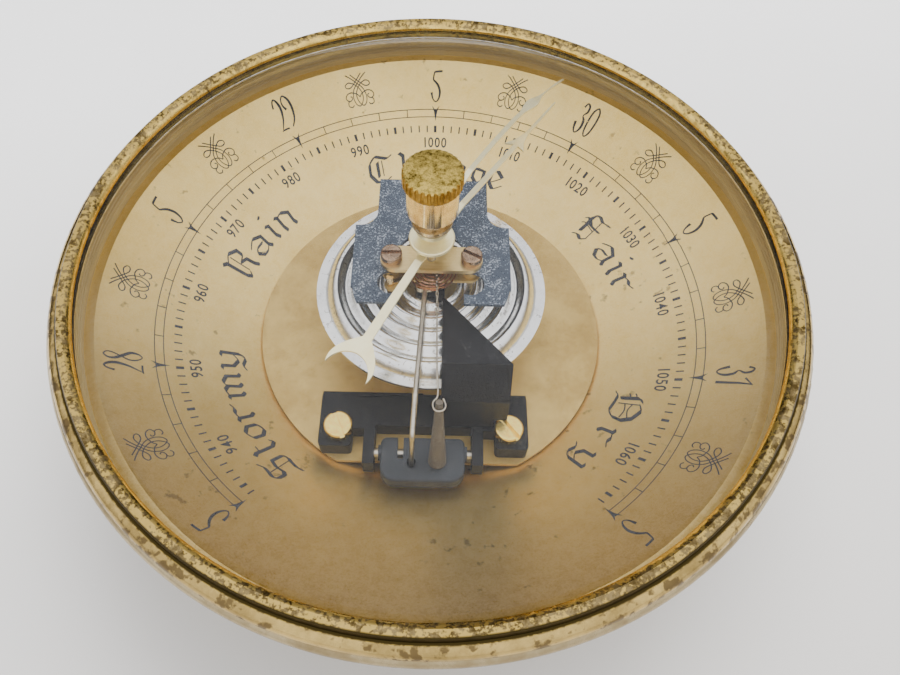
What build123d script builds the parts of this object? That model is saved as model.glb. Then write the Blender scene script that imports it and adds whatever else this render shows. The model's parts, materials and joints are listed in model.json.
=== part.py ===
from build123d import *
import math
import os

# Aneroid barometer, lying on its back with the dial facing up.
# Millimetres. Origin: centre of the flat back. +Z: up the dial axis. +Y: towards the dial's top mark.

# ---- driving dimensions -------------------------------------------------------------------------
SCALE_R = 48.0  # radius of the pressure scale's inner circle
SCALE_Z = 20.6  # height of that circle above the back; movement heights below are given from it
DISH = 16.0  # dial dish: height above the scale circle is DISH * ((r / SCALE_R)^2 - 1)

BACK = -SCALE_Z  # the back face, from the scale circle
CASE_R = 58.3  # outside radius of the drum that drops into a panel
CASE_WALL = 0.8
COVER_T = 1.0
MOUTH_R = 61.2  # outside radius of the case mouth that carries the bezel
LIP_R = 1.3  # half thickness of the rolled lip under the bezel
LIP_Z = 11.2
BEZEL_SIGHT_R = 58.57  # radius of the bezel's sight opening
BEZEL_R = 62.9

DIAL_HOLE_R = 27.5
DIAL_BRIM_R = 57.4
DIAL_EDGE_R = 59.5
DIAL_T = 0.6
LEDGE_TOP = DISH * ((DIAL_BRIM_R / SCALE_R) ** 2 - 1) - DIAL_T  # the dial's brim rests here

GLASS_R = 153.8  # outside radius of the glass dome
GLASS_T = 2.0
GLASS_TOP = 25.8  # apex of the glass, from the scale circle
GLASS_EDGE_R = 59.4
GLASS_HOLE_R = 2.2
BUSH_R = 2.1

PLATE_R = 32.0  # movement base plate
PLATE_TOP = -7.9
PLATE_T = 0.8
PLATE_FLAT_Y = -27.9
PILLAR_PLACE_R = 20.0
PILLAR_R = 3.0
BACK_SCREW_R = 1.25
BACK_HEAD_R = 2.5

CAPSULE_R = 20.2
CAPSULE_RIM = 4.8
CREST_R = (16.4, 13.4, 10.6, 8.0)  # crests of the diaphragm's corrugations
CREST_Z = 6.9
VALLEY_Z = 5.9
SKIN = 0.3
STEM_R = 1.6
ADJUSTER_R = 2.0  # screw that lifts the whole capsule from the back

BRACKET_X = -0.7
BAR_TOP = -4.3  # upper face of the bracket's bar
EAR_SCREW_X = 14.6  # from the bracket's own centre line
EAR_SCREW_Y = -23.4
EAR_SCREW_R = 1.25
LEAF_T = 0.4
LEAF_Z = 7.2  # middle of the leaf where it holds the stem

PIVOT_Y = -27.4  # rocker axis
PIVOT_Z = -5.3
AXLE_R = 0.75
ROCKER_TOP = -3.8
ROCKER_T = 3.0
LEVER_FOOT = (-2.6, -29.75)  # where the lever wire stands on the rocker
POST_X = 1.75

CHAIN_Z = 10.95
CHAIN_X = 0.95
CHAIN_END = (1.15, -8.6)
HOOK_Y = -26.07
DRUM_R = 0.62
DRUM_BORE = 0.4
STUD_R = 7.5  # hairspring stud
STUD_ANGLE = 203.5

POINTER_REST = 30.5  # degrees clockwise from the top mark
SET_HAND_REST = 28.0

RUN = 0.05  # radial running clearance of every shaft

STRAP_TOP = 13.4
STRAP_T = 0.8
STRAP_SCREW_X = 6.7
STRAP_SCREW_R = 0.9
TOP_PLATE = 12.6  # upper face of the blued top plate
TOP_PLATE_T = 0.6
LEG_SCREW_X = 6.0
LEG_SCREW_Y = 25.6

HAND_T = 0.35
ARBOR_TIP_R = 0.6
HUB_BORE = 1.2  # bore of the set hand, on the knob's stem

KNOB_LOW = 26.2
KNURL_LOW = 32.3
KNOB_TOP = 35.0
BOSS_R = 4.05
KNURL_R = 4.62
TEETH = 30


# ---- small helpers ------------------------------------------------------------------------------
def at(z):
    """Height above the back, for a height given from the scale circle."""
    return SCALE_Z + z


def turned(*edges):
    """Solid of revolution about Z of a closed outline drawn in the XZ plane."""
    return revolve(make_face(Wire(list(edges)).edges()), Axis.Z)


def pts(*points):
    """Points (radius, height from the scale circle) on the XZ plane."""
    return [Vector(r, 0, at(z)) for r, z in points]


def ring(r_in, r_out, z0, z1):
    """Plain ring, or a disc when r_in is 0, between two heights from the scale circle."""
    body = Pos(0, 0, at(z0)) * extrude(Circle(r_out), z1 - z0)
    if r_in > 0:
        body -= Pos(0, 0, at(z0) - 1) * extrude(Circle(r_in), z1 - z0 + 2)
    return body


def rod(r, z0, z1, x=0.0, y=0.0):
    """Upright rod between two heights from the scale circle."""
    return Pos(x, y, at(z0)) * extrude(Circle(r), z1 - z0)


def slab(outline, z0, z1):
    """Flat plate from a sketch, between two heights from the scale circle."""
    return Pos(0, 0, at(z0)) * extrude(outline, z1 - z0, dir=(0, 0, 1))


def cheese_screw(head_r, head_h, shank_r, shank, slot_angle, x, y, z_under):
    """Slotted cheese-head screw, head resting on height z_under."""
    screw = rod(head_r, z_under, z_under + head_h, x, y)
    top = screw.edges().filter_by(GeomType.CIRCLE).sort_by(Axis.Z)[-1]
    screw = fillet(top, head_h * 0.22)
    screw += rod(shank_r, z_under - shank, z_under, x, y)
    slot = Box(head_r * 0.36, head_r * 3, head_h * 0.9)
    return screw - Pos(x, y, at(z_under + head_h)) * Rot(0, 0, slot_angle) * slot


def wire_path(radius, bend, *points):
    """Round wire along straight runs joined by arcs of the given bend radius."""
    path = FilletPolyline(*points, radius=bend) if len(points) > 2 else Line(*points)
    start = Plane(origin=path @ 0, z_dir=path % 0)
    return sweep(start * Circle(radius), path=path)


def save(node, part):
    part.label = node
    export_step(part, f"parts/{node}.step")


def group(parts):
    return Compound(children=[p if isinstance(p, Solid) else p.solids()[0] for p in parts])


# ---- case ---------------------------------------------------------------------------------------
def case_drum():
    inner = CASE_R - CASE_WALL
    mouth_in = MOUTH_R - CASE_WALL
    floor = BACK
    wall = ring(inner, CASE_R, floor, LEDGE_TOP)
    wall += ring(inner, MOUTH_R, LEDGE_TOP - CASE_WALL, LEDGE_TOP)
    wall += ring(mouth_in, MOUTH_R, LEDGE_TOP - CASE_WALL, LIP_Z + LIP_R)
    wall += ring(inner - 3.0, CASE_R - 0.1, floor + COVER_T, floor + COVER_T + CASE_WALL)
    lip = Plane.XZ * Pos(MOUTH_R + LIP_R - 0.2, at(LIP_Z)) * Circle(LIP_R)
    return wall + revolve(lip, Axis.Z)


def countersunk(head_r, shank_r, x, y):
    """Cone of a flat-head screw that lies flush in the rear cover."""
    cone = Cone(head_r, shank_r, COVER_T, align=(Align.CENTER, Align.CENTER, Align.MIN))
    return Pos(x, y, at(BACK)) * cone


def rear_cover():
    cover = ring(6.0, CASE_R - CASE_WALL - 0.1, BACK, BACK + COVER_T)
    rim = cover.edges().filter_by(GeomType.CIRCLE).sort_by(SortBy.RADIUS)[-2:]
    cover = fillet(rim.sort_by(Axis.Z)[:1], 0.4)
    for x, y in pillar_places():
        cover -= countersunk(BACK_HEAD_R, BACK_SCREW_R, x, y)
    return cover


def pillar_places():
    places = []
    for angle in (60, 180, 300):
        a = math.radians(angle)
        places.append((PILLAR_PLACE_R * math.sin(a), PILLAR_PLACE_R * math.cos(a)))
    return places


def pillars():
    made = []
    for x, y in pillar_places():
        post = rod(PILLAR_R, BACK + COVER_T, PLATE_TOP - PLATE_T, x, y)
        made.append(post - rod(BACK_SCREW_R, BACK, BACK + 8, x, y))
    return group(made)


def back_screws():
    made = []
    for x, y in pillar_places():
        screw = countersunk(BACK_HEAD_R, BACK_SCREW_R, x, y)
        screw += rod(BACK_SCREW_R, BACK + COVER_T, BACK + 7, x, y)
        made.append(screw - Pos(x, y, at(BACK)) * Rot(0, 0, 25) * Box(0.7, 6, 0.9))
    return group(made)


def bezel():
    skirt = MOUTH_R - CASE_WALL - 0.05
    low, seat = LEDGE_TOP + 0.7, LIP_Z + LIP_R
    a, b, c, d, e = pts((59.6, low), (skirt, low), (skirt, seat), (BEZEL_R, seat), (BEZEL_R, 12.75))
    band_mid, band_top = pts((62.35, 13.75), (61.3, 14.2))
    step_low, step_top = pts((60.95, 14.25), (60.72, 15.45))
    bead = pts((60.45, 15.78), (59.5, 15.72), (59.0, 15.45), (BEZEL_SIGHT_R, 14.75))
    lip_in, lip_out = pts((BEZEL_SIGHT_R, 14.3), (59.6, 14.3))
    return turned(
        Line(a, b), Line(b, c), Line(c, d), Line(d, e),
        ThreePointArc(e, band_mid, band_top), Line(band_top, step_low), Line(step_low, step_top),
        Line(step_top, bead[0]), Line(bead[0], bead[1]), ThreePointArc(bead[1], bead[2], bead[3]),
        Line(bead[3], lip_in), Line(lip_in, lip_out), Line(lip_out, a),
    )


# ---- dial and glass -----------------------------------------------------------------------------
def dish_z(r):
    return DISH * ((r / SCALE_R) ** 2 - 1)


def dish_curve(r0, r1, drop):
    """The dish's parabola, exactly, as a quadratic curve from radius r0 to r1."""
    middle = DISH * (r0 * r1 / SCALE_R**2 - 1)
    p = pts((r0, dish_z(r0) - drop), ((r0 + r1) / 2, middle - drop), (r1, dish_z(r1) - drop))
    return Bezier(*p)


def dial():
    brim = dish_z(DIAL_BRIM_R)
    top = dish_curve(DIAL_HOLE_R, DIAL_BRIM_R, 0)
    under = dish_curve(DIAL_HOLE_R, DIAL_BRIM_R, DIAL_T)
    a, b = pts((DIAL_EDGE_R, brim), (DIAL_EDGE_R, brim - DIAL_T))
    return turned(top, Line(top @ 1, a), Line(a, b), Line(b, under @ 1), under, Line(under @ 0, top @ 0))


def glass():
    centre = Pos(0, 0, at(GLASS_TOP - GLASS_R))
    shell = centre * Sphere(GLASS_R) - centre * Sphere(GLASS_R - GLASS_T)
    keep = rod(GLASS_EDGE_R, 0, GLASS_TOP + 5)
    dome = shell & keep
    return (dome - rod(GLASS_HOLE_R, 0, GLASS_TOP + 5)).solids()[0]


def glass_under(r):
    """Height of the glass's under face at radius r, from the scale circle."""
    inner = GLASS_R - GLASS_T
    return GLASS_TOP - GLASS_R + math.sqrt(inner**2 - r**2)


def spacer_ring():
    body = ring(59.0, 59.55, dish_z(DIAL_BRIM_R), 10.4)
    for z in (8.2, 9.0, 9.8):
        groove = Plane.XZ * Pos(59.0, at(z)) * Circle(0.12)
        body -= revolve(groove, Axis.Z)
    return body


def snap_ring():
    return revolve(Plane.XZ * Pos(59.25, at(10.72)) * Circle(0.3), Axis.Z)


def glass_gasket():
    return ring(58.9, 59.55, 11.04, glass_under(GLASS_EDGE_R) - 0.02)


# ---- movement frame -----------------------------------------------------------------------------
def base_plate():
    disc = Circle(PLATE_R) - Pos(0, PLATE_FLAT_Y - 20) * Rectangle(100, 40)
    plate = slab(disc, PLATE_TOP - PLATE_T, PLATE_TOP)
    plate -= rod(4.55, PLATE_TOP - 2, PLATE_TOP + 2)
    for side in (-1, 1):
        plate -= rod(1.3, PLATE_TOP - 2, PLATE_TOP + 2, BRACKET_X + side * EAR_SCREW_X, EAR_SCREW_Y)
        plate -= rod(1.05, PLATE_TOP - 2, PLATE_TOP + 2, side * LEG_SCREW_X, LEG_SCREW_Y)
    return plate


def bracket():
    x = BRACKET_X
    bar = Pos(x, -19.9) * Rectangle(35.8, 7.0)
    ears = Sketch() + [Pos(x + s * 15.2, -21.6) * RectangleRounded(5.6, 10.2, 0.8) for s in (-1, 1)]
    body = slab(bar + ears, PLATE_TOP, BAR_TOP)
    for s in (-1, 1):
        arm = Pos(x + s * 9.25, -26.35) * Rectangle(1.9, 7.1)
        body += slab(arm, PLATE_TOP + 0.05, BAR_TOP + 0.5)
        body -= rod(1.3, PLATE_TOP - 1, BAR_TOP + 1, x + s * EAR_SCREW_X, EAR_SCREW_Y)
    wedge = Pos(x - 4.5, -17.0) * Polygon((-8, -0.4), (8, -0.9), (8, 0.9), align=None)
    body -= slab(wedge, BAR_TOP - 0.5, BAR_TOP + 1)
    axle = Pos(x - 15, PIVOT_Y, at(PIVOT_Z)) * Rot(0, 90, 0) * extrude(Circle(AXLE_R), 30)
    body -= axle & (Pos(x, PIVOT_Y, at(PIVOT_Z)) * Box(24, 4, 4))
    recess = Pos(x, -25.6) * Rectangle(16.6, 5.6)
    return (body - slab(recess, PLATE_TOP - 1, BAR_TOP + 2)).solids()[0]


def bracket_screws():
    shank = BAR_TOP - (PLATE_TOP - PLATE_T) + 0.7
    made = []
    for s, angle in ((-1, 22), (1, 38)):
        x = BRACKET_X + s * EAR_SCREW_X
        made.append(cheese_screw(2.45, 1.9, EAR_SCREW_R, shank, angle, x, EAR_SCREW_Y, BAR_TOP))
    return group(made)


def bracket_nuts():
    made = []
    for s in (-1, 1):
        x = BRACKET_X + s * EAR_SCREW_X
        nut = rod(1.9, PLATE_TOP - PLATE_T - 0.75, PLATE_TOP - PLATE_T, x, EAR_SCREW_Y)
        made.append(nut - rod(EAR_SCREW_R, PLATE_TOP - 3, PLATE_TOP, x, EAR_SCREW_Y))
    return group(made)


def rocker_axle():
    length = 20.4
    return Pos(BRACKET_X - length / 2, PIVOT_Y, at(PIVOT_Z)) * Rot(0, 90, 0) * extrude(Circle(AXLE_R), length)


# ---- capsule ------------------------------------------------------------------------------------
def diaphragm(sign):
    """One corrugated half of the capsule; sign +1 is the upper half, -1 the lower one."""
    rim, centre = CAPSULE_RIM, 4.6
    outer = [(CAPSULE_R, rim), (18.6, rim), (17.9, VALLEY_Z)]
    for i, r in enumerate(CREST_R):
        outer.append((r, CREST_Z - 0.08 * i))
        outer.append((r - 1.5, VALLEY_Z - 0.05 * i))
    outer.append((centre, 6.3))
    if sign < 0:
        outer = [(r, 2 * rim - z) for r, z in outer]
    top = pts(*outer)
    low = pts(*[(r, z - sign * SKIN) for r, z in outer])
    hub_t, hub_l = pts((0, top[-1].Z - SCALE_Z), (0, low[-1].Z - SCALE_Z))
    rim_top = Line(top[0], top[1])
    wave_top = Spline(*top[1:])
    wave_low = Spline(*low[1:])
    half = turned(
        rim_top, wave_top, Line(top[-1], hub_t), Line(hub_t, hub_l), Line(hub_l, low[-1]),
        wave_low, Line(low[1], low[0]), Line(low[0], top[0]),
    )
    return Pos(0, 0, sign * SKIN) * half


def capsule_upper():
    return diaphragm(1)


def capsule_lower():
    return diaphragm(-1) + rod(3.6, 0.3, 3.2)


def capsule_post():
    bore = ADJUSTER_R + RUN
    flange = ring(bore, 6.0, PLATE_TOP - PLATE_T - 1.0, PLATE_TOP - PLATE_T)
    return flange + ring(bore, 4.5, PLATE_TOP - PLATE_T, 0.3)


def adjusting_screw():
    head_low = BACK + 2.2
    screw = rod(3.2, head_low, head_low + 2.2) + rod(ADJUSTER_R, head_low + 2.2, -0.2)
    return screw - Pos(0, 0, at(head_low)) * Box(1.0, 8, 2.0)


def leaf_spring():
    """Wide leaf that rises from the bracket, bends over the capsule and holds up its stem."""
    foot = BAR_TOP + LEAF_T / 2
    side = Polyline(
        (2.6, at(LEAF_Z)), (-2.4, at(LEAF_Z)), (-17.7, at(9.2)), (-21.6, at(3.5)),
        (-22.4, at(foot)), (-17.6, at(foot)),
    )
    thick = offset(side, LEAF_T / 2, kind=Kind.INTERSECTION)
    band = extrude(Plane.YZ * make_face(thick.edges()), 40, both=True)
    plan = Polygon(
        (-2.4, 2.6), (2.4, 2.6), (2.4, -3.9), (13.6, -17.7), (13.4, -24.0), (2.1, -24.0), (2.1, -4.4),
        (-2.4, -2.6), align=None,
    )
    leaf = band & slab(plan, -10, 12)
    leaf -= rod(2.9, BAR_TOP - 1, BAR_TOP + 2.4, BRACKET_X + EAR_SCREW_X, EAR_SCREW_Y)
    return (leaf - rod(STEM_R + 0.1, 6, 9)).solids()[0]


def capsule_stem():
    return rod(3.0, 6.62, 6.8) + rod(STEM_R, 6.8, 7.8)


def lever_clamp():
    return slab(Pos(-0.5, -0.6) * RectangleRounded(4.4, 5.0, 1.0), 7.8, 8.75) - lever_wire()


def lever_wire():
    clamped = (-0.9, -0.9, at(8.3))
    shoulder = (-2.05, -23.0, at(8.0))
    bend = (-2.4, -28.6, at(4.2))
    return wire_path(0.45, 1.2, clamped, shoulder, bend, (*LEVER_FOOT, at(-4.4)))


# ---- rocker and its post ------------------------------------------------------------------------
def rocker():
    x = BRACKET_X - 0.05
    inner, outer = -25.0, -32.9
    plan = Pos(x, (inner + outer) / 2) * Rectangle(14.3, inner - outer)
    body = slab(plan, ROCKER_TOP - ROCKER_T, ROCKER_TOP)
    upright = body.edges().filter_by(Axis.Z)
    body = fillet(upright.sort_by(Axis.Y)[:2], 2.6)
    body = fillet(body.edges().filter_by(Axis.Z).sort_by(Axis.Y)[-2:], 1.2)
    rim = body.faces().sort_by(Axis.Z)[-1].edges()
    body = fillet(rim, 0.5)
    for s in (-1, 1):
        stub = Pos(x + s * 7.1, PIVOT_Y, at(PIVOT_Z)) * Rot(0, 90, 0) * Cylinder(1.35, 0.9)
        body += stub
    body -= Pos(x, PIVOT_Y, at(PIVOT_Z)) * Rot(0, 90, 0) * Cylinder(AXLE_R + RUN, 20)
    body -= slab(Pos(-4.5, -25.9) * Rectangle(1.0, 6.0), ROCKER_TOP - ROCKER_T - 1, ROCKER_TOP + 1)
    socket = Pos(*LEVER_FOOT) * RectangleRounded(1.5, 2.0, 0.7)
    return body - slab(socket, ROCKER_TOP - 1.2, ROCKER_TOP + 1)


def rocker_post():
    foot = Vector(POST_X, -29.3, at(ROCKER_TOP))
    tip = Vector(POST_X, -25.9, at(11.7))
    lean = tip - foot
    taper = math.degrees(math.atan(1.0 / lean.length))
    cone = extrude(Plane(foot, z_dir=lean) * Circle(1.55), lean.length, taper=taper)
    return cone - slab(Rectangle(200, 200), ROCKER_TOP - 5, ROCKER_TOP)


# ---- arbor, chain, hairspring -------------------------------------------------------------------
def arbor():
    lower = rod(0.5, 9.1, 9.95) + rod(0.7, 9.95, 10.55) + rod(DRUM_BORE, 10.55, 11.8)
    return lower + rod(0.7, 11.8, 13.6) + rod(ARBOR_TIP_R, 13.6, 17.9)


def chain_drum():
    return ring(DRUM_BORE, DRUM_R, 10.55, 11.35) + ring(DRUM_BORE, 1.05, 11.35, 11.8)


def collet():
    return ring(0.7, 1.2, 10.0, 10.5)


def hairspring():
    turns, r0, r1, steps = 5.0, 1.45, 4.7, 60
    def spiral(shift):
        made = []
        for i in range(steps + 1):
            t = i / steps
            a = 2 * math.pi * turns * t + math.radians(STUD_ANGLE)
            r = r0 + (r1 - r0) * t + shift
            made.append((r * math.cos(a), r * math.sin(a)))
        return made
    outer, inner = spiral(0.08), spiral(-0.08)
    ends = [Line(outer[0], inner[0]), Line(outer[-1], inner[-1])]
    face = make_face([Spline(*outer), Spline(*inner)] + ends)
    return slab(face, 10.0, 10.5)


def spring_stud():
    """Pin on the lower bridge with an arm that holds the spring's outer end."""
    arm = Rot(0, 0, STUD_ANGLE) * Pos((STUD_R + 4.85) / 2, 0) * Rectangle(STUD_R - 4.85, 0.8)
    pin = Rot(0, 0, STUD_ANGLE) * rod(0.6, 9.9, 12.0, STUD_R)
    return pin + slab(arm, 10.05, 10.45)


def fusee_chain():
    return wire_path(0.3, 1, Vector(CHAIN_X, 0.5, at(CHAIN_Z)), Vector(*CHAIN_END, at(CHAIN_Z)))


def link_wire():
    start = Vector(CHAIN_END[0], CHAIN_END[1] - 0.02, at(CHAIN_Z))
    end = Vector(POST_X, HOOK_Y + 1.1, at(CHAIN_Z))
    run = wire_path(0.18, 1, start, end)
    loop = Pos(POST_X, HOOK_Y, at(CHAIN_Z)) * Torus(1.0, 0.18)
    gap = Pos(POST_X + 0.75, HOOK_Y + 0.75, at(CHAIN_Z)) * Box(0.6, 0.6, 1)
    return run + (loop - gap)


# ---- top plate and strap ------------------------------------------------------------------------
def top_plate():
    outline = Pos(0, 1.0) * Rectangle(26.6, 13.0) + Pos(0, 10) * Rectangle(19.2, 16.2)
    outline += Pos(0, -3.0) * Circle(13.3) & Pos(0, -4.0) * Rectangle(26.6, 9.0)
    flat = slab(outline, TOP_PLATE - TOP_PLATE_T, TOP_PLATE)
    shoulders = flat.edges().filter_by(Axis.Z).filter_by_position(Axis.Y, 7, 9)
    flat = fillet(shoulders.sort_by(Axis.X)[1:-1], 3.0)
    hollow = Circle(6.2) + Pos(0, -6) * Rectangle(11.0, 8.0)
    for s in (-1, 1):
        hollow += Pos(s * 6.6, -4.4) * Circle(2.3)
    hollow -= Sketch() + [Pos(s * STRAP_SCREW_X, 0.6) * Circle(2.6) for s in (-1, 1)]
    flat -= slab(hollow, TOP_PLATE - 2, TOP_PLATE + 2)
    flat = flat.solids().sort_by(SortBy.VOLUME)[-1]
    foot = PLATE_TOP + TOP_PLATE_T / 2
    side = Polyline(
        (18.0, at(TOP_PLATE - TOP_PLATE_T / 2)), (21.8, at(4.6)), (22.8, at(foot)), (27.4, at(foot)),
    )
    strip = offset(side, TOP_PLATE_T / 2, kind=Kind.INTERSECTION)
    leg = extrude(Plane.YZ * make_face(strip.edges()), 9.6, both=True)
    for s in (-1, 1):
        flat -= rod(0.95, TOP_PLATE - 2, TOP_PLATE + 1, s * STRAP_SCREW_X, 0)
        leg -= rod(1.05, PLATE_TOP - 1, PLATE_TOP + 2, s * LEG_SCREW_X, LEG_SCREW_Y)
    return (flat + leg).solids().sort_by(SortBy.VOLUME)[-1]


def leg_screws():
    made = []
    for s in (-1, 1):
        x, under = s * LEG_SCREW_X, PLATE_TOP + TOP_PLATE_T
        made.append(cheese_screw(2.0, 1.3, 1.0, 2.2, 40 * s, x, LEG_SCREW_Y, under))
    return group(made)


def bridge_pillars():
    made = []
    for s in (-1, 1):
        made.append(ring_at(STRAP_SCREW_R, 1.5, 9.9, TOP_PLATE - TOP_PLATE_T, s * STRAP_SCREW_X))
    return group(made)


def ring_at(r_in, r_out, z0, z1, x):
    return rod(r_out, z0, z1, x) - rod(r_in, z0 - 1, z1 + 1, x)


def lower_bridge():
    lug = Rot(0, 0, STUD_ANGLE) * Pos(STUD_R - 0.2, 0) * Circle(1.2)
    bar = slab(SlotOverall(17.0, 4.0) + lug, 9.3, 9.9) - rod(0.5 + RUN, 9, 10)
    for s in (-1, 1):
        bar -= rod(STRAP_SCREW_R, 9, 10, s * STRAP_SCREW_X)
    return bar


def strap():
    bar = slab(SlotOverall(17.2, 5.0), STRAP_TOP - STRAP_T, STRAP_TOP) - rod(0.7 + RUN, 12, 14)
    for s in (-1, 1):
        bar -= rod(0.95, 12, 14, s * STRAP_SCREW_X)
    return bar


def strap_screws():
    made = []
    for s, angle in ((-1, 92), (1, 62)):
        made.append(cheese_screw(1.8, 1.5, STRAP_SCREW_R, 4.1, angle, s * STRAP_SCREW_X, 0, STRAP_TOP))
    return group(made)


# ---- hands --------------------------------------------------------------------------------------
def bent_hand(plan, profile, rest):
    """Flat hand pressed to a side profile of (distance, height) points, turned to its rest angle."""
    side = Polyline(*[(y, at(z)) for y, z in profile])
    strip = offset(side, HAND_T / 2, kind=Kind.INTERSECTION)
    sheet = extrude(Plane.YZ * make_face(strip.edges()), 12, both=True)
    low = min(z for _, z in profile) - 2
    high = max(z for _, z in profile) + 2
    hand = sheet & slab(plan, low, high)
    return Rot(0, 0, -rest) * hand.solids().sort_by(SortBy.VOLUME)[-1]


def pointer():
    arrow = Polygon(
        (0.5, 0), (0.48, 29.4), (1.95, 28.75), (0.9, 30.9), (0.36, 33.5), (0.12, 46.1),
        (-0.12, 46.1), (-0.36, 33.5), (-0.9, 30.9), (-1.95, 28.75), (-0.48, 29.4), (-0.5, 0), align=None,
    )
    tail = Polygon((-0.62, 0), (-0.8, -19.4), (0.8, -19.4), (0.62, 0), align=None)
    outer = [Vector(0.75, -19.0), Vector(2.6, -20.9), Vector(3.85, -23.0), Vector(3.8, -25.3)]
    inner = [Vector(3.8, -25.3), Vector(2.35, -22.75), Vector(0, -21.9)]
    right = [Spline(*outer), ThreePointArc(inner[0], inner[1], inner[2])]
    left = [mirror(edge, about=Plane.YZ) for edge in right]
    crescent = make_face(right + left + [Line(outer[0], (-outer[0].X, outer[0].Y))])
    plan = arrow + tail + crescent + Circle(2.2)
    profile = [(-26.8, 12.6), (-4.0, 17.1), (10.0, 17.35), (46.3, 11.6)]
    return bent_hand(plan, profile, POINTER_REST) - rod(ARBOR_TIP_R, 12, 20)


def pointer_hub():
    top = rod(3.75, 18.6, 19.2)
    edge = top.edges().filter_by(GeomType.CIRCLE).sort_by(Axis.Z)[-1]
    hub = fillet(edge, 0.25) + rod(1.6, 17.4, 18.6)
    return hub - rod(ARBOR_TIP_R, 17, 17.9)


def set_hand():
    edge = Spline((0.42, 32.0), (0.5, 34.4), (1.05, 38.2), (0.34, 42.4), (0.16, 47.0), (0.13, 55.4))
    half = [Line((0.45, 0), edge @ 0), edge]
    flip = [mirror(e, about=Plane.YZ) for e in half]
    tip = edge @ 1
    ends = [Line((0.45, 0), (-0.45, 0)), Line(tip, (-tip.X, tip.Y))]
    plan = make_face(half + flip + ends) + Circle(2.8)
    profile = [
        (-3, 21.9), (2.9, 21.9), (13, 22.35), (22, 20.9), (30.7, 18.95), (38.9, 16.3), (48, 12.8), (55.5, 9.5),
    ]
    return bent_hand(plan, profile, SET_HAND_REST) - rod(HUB_BORE, 20, 25)


def set_hand_hub():
    return ring(HUB_BORE, 2.6, 21.0, 21.72)


# ---- knob ---------------------------------------------------------------------------------------
def knob():
    boss = rod(BOSS_R, KNOB_LOW, KNURL_LOW)
    foot = boss.edges().filter_by(GeomType.CIRCLE).sort_by(Axis.Z)[0]
    boss = chamfer(foot, 0.35)
    gaps = [Rot(0, 0, 360 / TEETH * i) * Pos(KNURL_R, 0) * Circle(0.3) for i in range(TEETH)]
    teeth = Sketch() + gaps
    head = slab(Circle(KNURL_R) - teeth, KNURL_LOW - 0.35, KNOB_TOP)
    low, foot_r, side, crown_r, crown = pts(
        (0, KNURL_LOW - 0.35), (KNURL_R - 0.4, KNURL_LOW - 0.35), (KNURL_R + 0.1, KNURL_LOW + 0.45),
        (KNURL_R + 0.1, KNOB_TOP - 0.5), (0, KNOB_TOP),
    )
    shoulder, middle = pts((KNURL_R - 0.3, KNOB_TOP - 0.2), (KNURL_R / 2, KNOB_TOP - 0.05))
    dome = ThreePointArc(shoulder, middle, crown)
    envelope = turned(
        Line(low, foot_r), Line(foot_r, side), Line(side, crown_r), Line(crown_r, shoulder),
        dome, Line(crown, low),
    )
    return boss + (head & envelope)


def knob_stem():
    return rod(HUB_BORE, 21.0, KNOB_LOW)


def glass_bush():
    return ring(HUB_BORE + RUN, BUSH_R, 22.9, 26.1)


def glass_washer():
    return ring(BUSH_R, 3.4, 25.84, 26.1)


def bush_nut():
    return ring(BUSH_R, 3.3, 22.95, glass_under(3.3) - 0.05)


# ---- write every node ---------------------------------------------------------------------------
NODES = {
    "case_drum": case_drum,
    "rear_cover": rear_cover,
    "pillars": pillars,
    "back_screws": back_screws,
    "bezel": bezel,
    "dial": dial,
    "spacer_ring": spacer_ring,
    "snap_ring": snap_ring,
    "glass_gasket": glass_gasket,
    "glass": glass,
    "glass_bush": glass_bush,
    "glass_washer": glass_washer,
    "bush_nut": bush_nut,
    "base_plate": base_plate,
    "bracket": bracket,
    "bracket_screws": bracket_screws,
    "bracket_nuts": bracket_nuts,
    "rocker_axle": rocker_axle,
    "capsule_upper": capsule_upper,
    "capsule_lower": capsule_lower,
    "capsule_post": capsule_post,
    "adjusting_screw": adjusting_screw,
    "leaf_spring": leaf_spring,
    "capsule_stem": capsule_stem,
    "lever_clamp": lever_clamp,
    "lever_wire": lever_wire,
    "rocker": rocker,
    "rocker_post": rocker_post,
    "arbor": arbor,
    "chain_drum": chain_drum,
    "collet": collet,
    "hairspring": hairspring,
    "spring_stud": spring_stud,
    "fusee_chain": fusee_chain,
    "link_wire": link_wire,
    "top_plate": top_plate,
    "leg_screws": leg_screws,
    "bridge_pillars": bridge_pillars,
    "lower_bridge": lower_bridge,
    "strap": strap,
    "strap_screws": strap_screws,
    "pointer": pointer,
    "pointer_hub": pointer_hub,
    "set_hand": set_hand,
    "set_hand_hub": set_hand_hub,
    "knob": knob,
    "knob_stem": knob_stem,
}

os.makedirs("parts", exist_ok=True)
for node, make in NODES.items():
    save(node, make())
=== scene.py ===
import json
import math

import bpy
from mathutils import Matrix, Vector


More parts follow.
